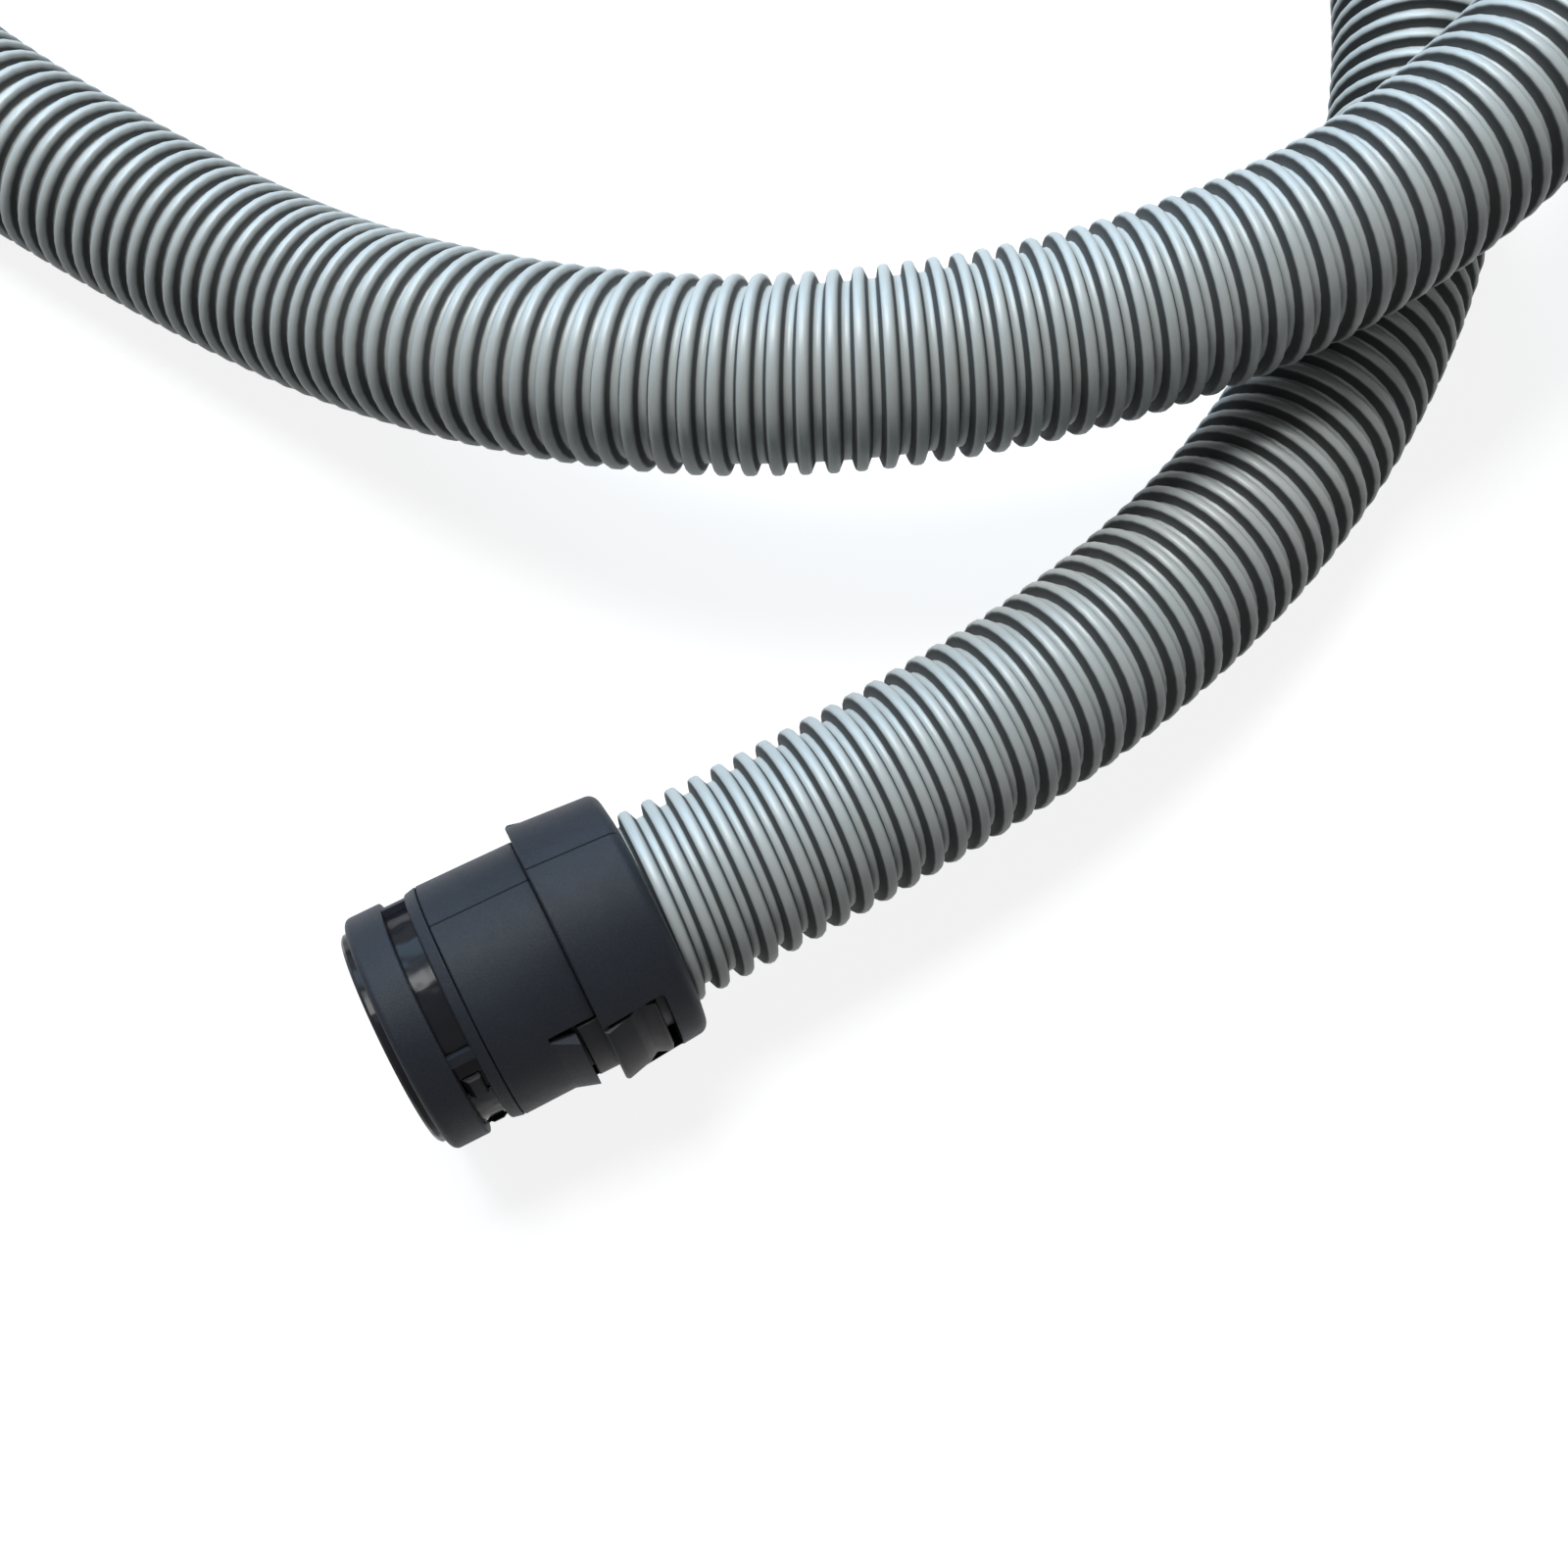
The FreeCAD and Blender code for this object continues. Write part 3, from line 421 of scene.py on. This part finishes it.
def on_route(tree, grid, route_curve, distance, lap, radius):
    """Move a grid's points to a distance along the route, a share of a lap and a radius."""
    sample = add_node(tree, "GeometryNodeSampleCurve", {
        "Curves": route_curve, "Length": distance}, mode="LENGTH")
    along = sample.outputs["Tangent"]
    level = vector_calc(tree, "NORMALIZE", vector_calc(tree, "CROSS_PRODUCT", along, (0, 0, 1)))
    upright = vector_calc(tree, "CROSS_PRODUCT", level, along)
    angle = calc(tree, "MULTIPLY", lap, math.tau)
    sideways = vector_calc(tree, "SCALE", level,
                           scale=calc(tree, "MULTIPLY", radius, calc(tree, "COSINE", angle)))
    upwards = vector_calc(tree, "SCALE", upright,
                          scale=calc(tree, "MULTIPLY", radius, calc(tree, "SINE", angle)))
    place = vector_calc(tree, "ADD", sample.outputs["Position"],
                        vector_calc(tree, "ADD", sideways, upwards))
    moved = add_node(tree, "GeometryNodeSetPosition", {"Geometry": grid, "Position": place})
    uv = add_node(tree, "ShaderNodeCombineXYZ", {"X": lap, "Y": distance}).outputs[0]
    uv = add_node(tree, "GeometryNodeFieldOnDomain", {0: uv}, data_type="FLOAT_VECTOR",
                  domain="POINT").outputs[0]
    return add_node(tree, "GeometryNodeStoreNamedAttribute", {
        "Geometry": moved.outputs[0], "Name": "UVMap", "Value": uv},
        data_type="FLOAT2", domain="CORNER").outputs[0]


def rows_and_columns(tree, columns, rows):
    """A flat grid, with each point's row, and its column as a share of a lap."""
    grid = add_node(tree, "GeometryNodeMeshGrid", {
        "Vertices X": calc(tree, "ADD", columns, 1.0), "Vertices Y": rows}).outputs["Mesh"]
    index = add_node(tree, "GeometryNodeInputIndex").outputs[0]
    column = calc(tree, "FLOOR", calc(tree, "DIVIDE", calc(tree, "ADD", index, 0.5), rows))
    row = calc(tree, "SUBTRACT", index, calc(tree, "MULTIPLY", column, rows))
    return grid, row, calc(tree, "DIVIDE", column, columns)


def hose_tree():
    """Route in, ribbed hose with its bore out."""
    tree, given = new_geometry_tree("ribbed_hose", {
        "Outer radius": "NodeSocketFloat", "Rib depth": "NodeSocketFloat",
        "Pitch": "NodeSocketFloat", "Bore radius": "NodeSocketFloat",
        "Plain end": "NodeSocketFloat", "Around": "NodeSocketInt",
        "Lining step": "NodeSocketFloat", "Finish": "NodeSocketMaterial"})
    curve = add_node(tree, "GeometryNodeMeshToCurve", {0: given["Geometry"]}).outputs[0]
    length = add_node(tree, "GeometryNodeCurveLength", {0: curve}).outputs[0]
    around = given["Around"]
    outer, pitch, plain = given["Outer radius"], given["Pitch"], given["Plain end"]

    steps = float(len(RIDGE))
    turns = calc(tree, "ADD", calc(tree, "CEIL", calc(tree, "DIVIDE", length, pitch)), 2.0)
    rows = calc(tree, "MULTIPLY_ADD", turns, steps, 1.0)
    grid, row, lap = rows_and_columns(tree, around, rows)
    turn_number = calc(tree, "FLOOR", calc(tree, "DIVIDE", calc(tree, "ADD", row, 0.5), steps))
    step = calc(tree, "ROUND", calc(
        tree, "SUBTRACT", row, calc(tree, "MULTIPLY", turn_number, steps)))
    share = table(tree, step, [share for share, _ in RIDGE])
    height = table(tree, step, [height for _, height in RIDGE])
    turned_so_far = calc(tree, "ADD", calc(tree, "ADD", turn_number, share),
                         calc(tree, "SUBTRACT", lap, 1.0))
    distance = calc(tree, "MINIMUM", length, calc(
        tree, "MAXIMUM", 0.0, calc(tree, "MULTIPLY", turned_so_far, pitch)))
    to_end = calc(tree, "MINIMUM", distance, calc(tree, "SUBTRACT", length, distance))
    is_ribbed = calc(tree, "GREATER_THAN", to_end, plain)
    low = calc(tree, "MULTIPLY", calc(tree, "SUBTRACT", 1.0, height), given["Rib depth"])
    radius = calc(tree, "SUBTRACT", outer, calc(tree, "MULTIPLY", is_ribbed, low))
    skin = on_route(tree, grid, curve, distance, lap, radius)

    spans = calc(tree, "CEIL", calc(tree, "DIVIDE", length, given["Lining step"]))
    lining_rows = calc(tree, "ADD", spans, 3.0)
    lining_grid, lining_row, lining_lap = rows_and_columns(tree, around, lining_rows)
    share_along = calc(tree, "DIVIDE", calc(tree, "SUBTRACT", lining_row, 1.0), spans)
    share_along = calc(tree, "MINIMUM", 1.0, calc(tree, "MAXIMUM", 0.0, share_along))
    middle = calc(tree, "MULTIPLY", calc(tree, "SUBTRACT", lining_rows, 1.0), 0.5)
    from_middle = calc(tree, "ABSOLUTE", calc(tree, "SUBTRACT", lining_row, middle))
    is_rim = calc(tree, "GREATER_THAN", from_middle, calc(tree, "SUBTRACT", middle, 0.5))
    wall = calc(tree, "SUBTRACT", outer, given["Bore radius"])
    lining_radius = calc(tree, "ADD", given["Bore radius"], calc(tree, "MULTIPLY", is_rim, wall))
    lining = on_route(tree, lining_grid, curve, calc(tree, "MULTIPLY", share_along, length),
                      lining_lap, lining_radius)
    lining = add_node(tree, "GeometryNodeFlipFaces", {0: lining}).outputs[0]

    both = add_node(tree, "GeometryNodeJoinGeometry")
    tree.links.new(skin, both.inputs[0])
    tree.links.new(lining, both.inputs[0])
    sewn = add_node(tree, "GeometryNodeMergeByDistance", {
        "Geometry": both.outputs[0], "Distance": 0.00001})
    smooth = add_node(tree, "GeometryNodeSetShadeSmooth", {"Geometry": sewn.outputs[0]})
    real = add_node(tree, "GeometryNodeRealizeInstances", {0: smooth.outputs[0]})
    finish = add_node(tree, "GeometryNodeSetMaterial", {
        "Geometry": real.outputs[0], "Material": given["Finish"]})
    out = tree.nodes.new("NodeGroupOutput")
    tree.links.new(finish.outputs[0], out.inputs[0])
    return tree


# %% Build the ribbed hose
def path_mesh(points):
    """The route as a bare chain of edges, for a tree to read."""
    mesh = bpy.data.meshes.new("hose_path")
    mesh.from_pydata(points, [(i, i + 1) for i in range(len(points) - 1)], [])
    return mesh


ribbed_hose = made_by(hose_tree(), "ribbed_hose", {
    "Outer radius": HOSE_DIAMETER / 2, "Rib depth": RIB_DEPTH, "Pitch": RIB_PITCH,
    "Bore radius": BORE_RADIUS, "Plain end": PLAIN_END, "Around": AROUND,
    "Lining step": LINING_STEP, "Finish": hose_silver}, path_mesh(hose_path))
bpy.data.objects.remove(route)
triangles = sum(len(face.vertices) - 2 for face in ribbed_hose.data.polygons)
print(f"ribbed hose: {triangles} triangles, {hose_length / RIB_PITCH:.0f} turns")

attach(ribbed_hose, "hose")
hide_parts("hose_first_run", "hose_loop", "hose_last_run")

# %% [markdown]
# ## Floor
# A pale floor with nothing on it. To the camera, and in anything that mirrors it, it glows just
# short of white, and the little light it still catches keeps the soft shadow that shows where
# the hose touches it. To all other rays it is dark, so that it throws little light back up.

# %% Floor
FLOOR_PALE = (0.24, 0.24, 0.24, 1.0)
FLOOR_BOUNCE = (0.10, 0.10, 0.10, 1.0)
FLOOR_GLOW = 0.87
FLOOR_HALF = 6.0


def seen_as_background(tree):
    """1 for a ray that shows the background: the camera's own, or one in a mirror or glass."""
    rays = add_node(tree, "ShaderNodeLightPath").outputs
    return calc(tree, "MAXIMUM", rays["Is Camera Ray"], calc(
        tree, "MAXIMUM", rays["Is Glossy Ray"], rays["Is Transmission Ray"]))


def floor_material():
    """A glow for the background's rays, and a weak matt surface that takes the shadow."""
    material = bpy.data.materials.new("pale_floor")
    material.use_nodes = True
    tree = material.node_tree
    tree.nodes.clear()
    seen = seen_as_background(tree)
    matt = add_node(tree, "ShaderNodeBsdfDiffuse", {
        "Color": mix_colour(tree, seen, FLOOR_BOUNCE, FLOOR_PALE)})
    lift = add_node(tree, "ShaderNodeEmission", {
        "Color": (1, 1, 1, 1), "Strength": calc(tree, "MULTIPLY", seen, FLOOR_GLOW)})
    total = add_node(tree, "ShaderNodeAddShader", {
        0: matt.outputs[0], 1: lift.outputs[0]})
    out = add_node(tree, "ShaderNodeOutputMaterial")
    tree.links.new(total.outputs[0], out.inputs["Surface"])
    return material


floor_mesh = bpy.data.meshes.new("floor")
floor_corners = [(x * FLOOR_HALF, y * FLOOR_HALF, FLOOR)
                 for x, y in ((-1, -1), (1, -1), (1, 1), (-1, 1))]
floor_mesh.from_pydata(floor_corners, [], [(0, 1, 2, 3)])
floor_mesh.materials.append(floor_material())
floor = bpy.data.objects.new("floor", floor_mesh)
bpy.context.scene.collection.objects.link(floor)

# %% [markdown]
# ## Light
# One broad cool light beyond the hose draws the sheen on the black casings and cools the upper
# side of the ribs. A smaller neutral light overhead is the main one. The room itself is dim, so
# the hose's lower side goes dark, but the camera and mirrors see it white.

# %% Lights and world
def soft_light(name, place, aim, size, power, colour):
    """A rectangular area light at a place, turned to face a point."""
    data = bpy.data.lights.new(name, "AREA")
    data.shape = "RECTANGLE"
    data.size, data.size_y = size
    data.energy = power
    data.color = colour
    light = bpy.data.objects.new(name, data)
    bpy.context.scene.collection.objects.link(light)
    light.location = place
    light.rotation_euler = (Vector(aim) - Vector(place)).to_track_quat("-Z", "Y").to_euler()
    return light


soft_light("window", (0.20, 1.55, 0.90), (0.15, 0.10, 0.0), (1.8, 0.8), 27.0, (0.46, 0.73, 1.0))
soft_light("overhead", (0.12, 0.75, 1.45), (0.15, 0.08, 0.0), (0.8, 0.5), 26.0,
           (0.97, 0.99, 1.0))

ROOM_LEVEL = 0.06
world = bpy.data.worlds.new("studio")
world.use_nodes = True
sky = world.node_tree
sky.nodes.clear()
sky_level = calc(sky, "MULTIPLY_ADD", seen_as_background(sky), 1.0 - ROOM_LEVEL, ROOM_LEVEL)
room = add_node(sky, "ShaderNodeBackground", {
    "Color": (1.0, 1.0, 1.0, 1.0), "Strength": sky_level})
sky_out = add_node(sky, "ShaderNodeOutputWorld")
sky.links.new(room.outputs[0], sky_out.inputs["Surface"])
bpy.context.scene.world = world
bpy.context.scene.view_settings.view_transform = "Standard"
